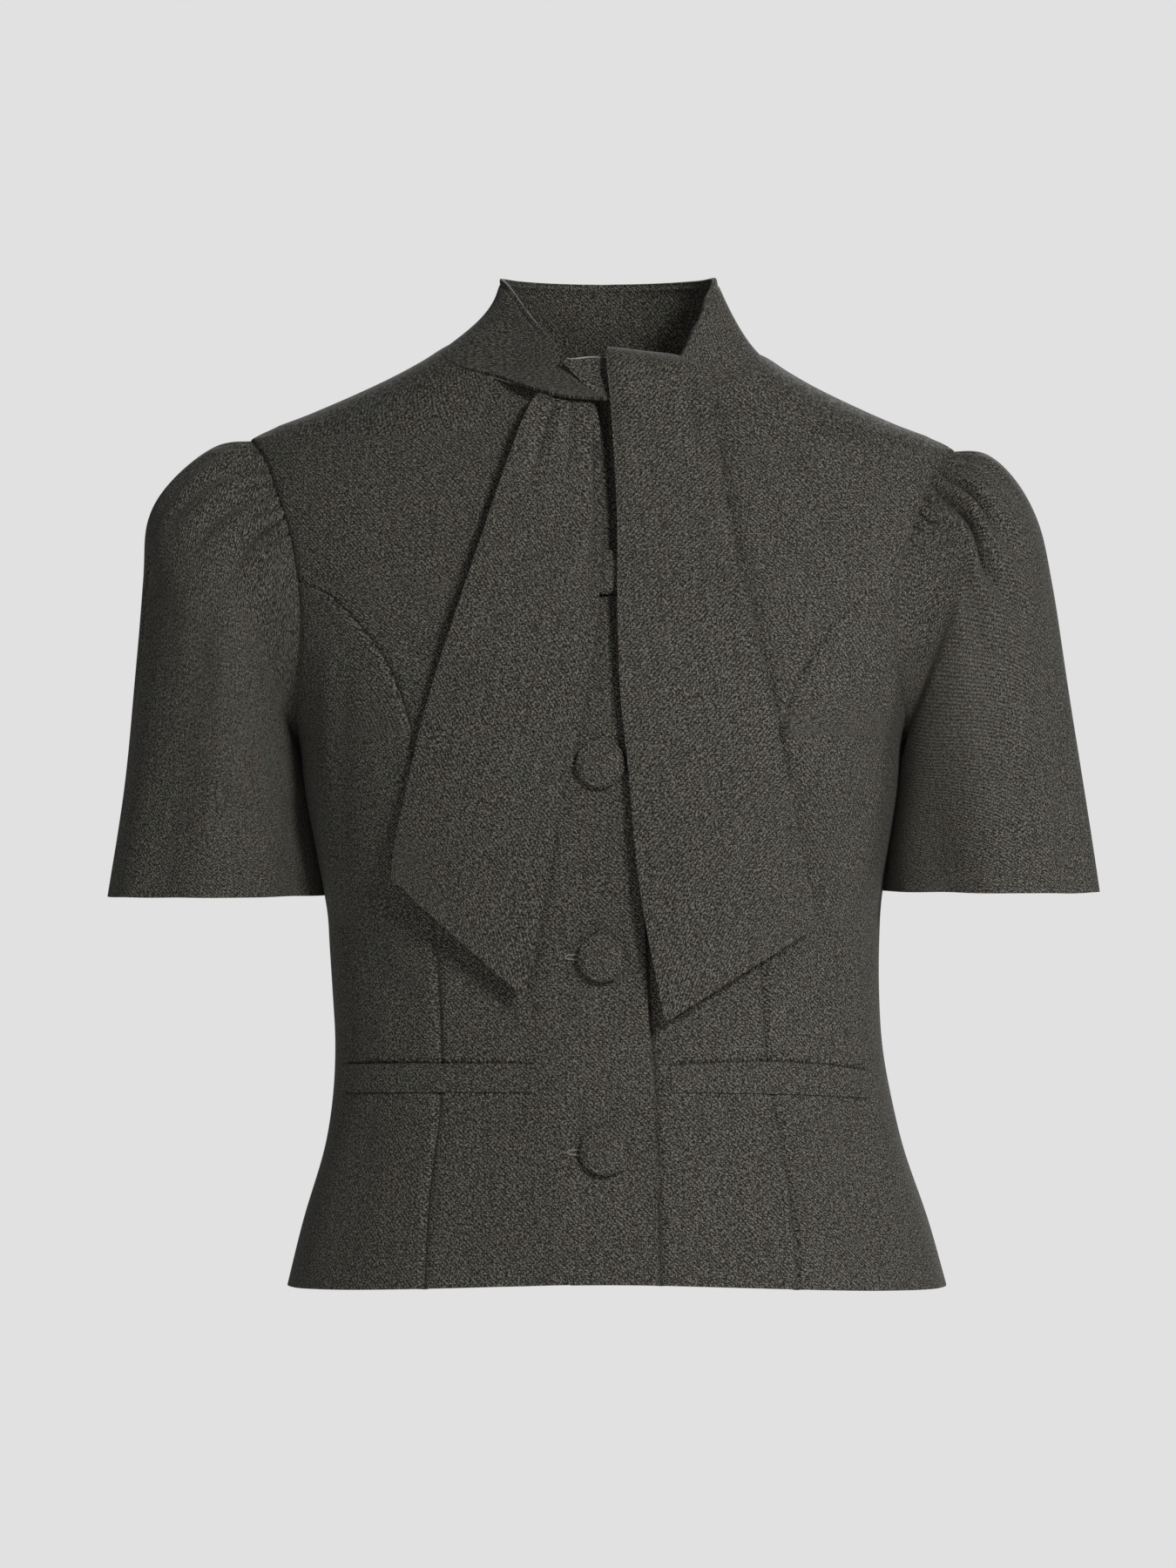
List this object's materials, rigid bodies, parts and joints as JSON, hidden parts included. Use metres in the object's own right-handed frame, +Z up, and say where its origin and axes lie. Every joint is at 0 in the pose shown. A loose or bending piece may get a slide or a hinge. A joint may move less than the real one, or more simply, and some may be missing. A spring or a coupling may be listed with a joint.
{
  "type": "tie neck blouse",
  "caption": "Cropped short-sleeved blouse in worn form, with a stand collar tied at the neck, puffed sleeve heads, princess seams, covered buttons and welt pockets.",
  "frame": {"origin": "middle of the neck base, level with the collar seam at the sides of the neck, where the wearer's neck and shoulders hold the blouse up", "axes": "+Z up towards the collar, -Y the front with its buttons, +X the wearer's left"},
  "size_m": [0.5111, 0.2459, 0.5208],
  "materials": {
    "cloth": "matt charcoal grey melange twill suiting",
    "button_cloth": "the same suiting stretched over a domed button",
    "lining": "smooth light grey lining"
  },
  "bodies": {
    "root": {"front_right": "cloth", "front_left": "cloth", "side_front_right": "cloth", "side_front_left": "cloth", "back": "cloth", "collar": "cloth", "sleeve_right": "cloth", "sleeve_left": "cloth", "tie_under": "cloth", "tie_over": "cloth", "tie_knot": "cloth", "pocket_welt_right": "cloth", "pocket_welt_left": "cloth", "button_1": "button_cloth", "button_2": "button_cloth", "button_3": "button_cloth", "button_4": "button_cloth", "neck_lining": "lining"}
  },
  "joints": []
}
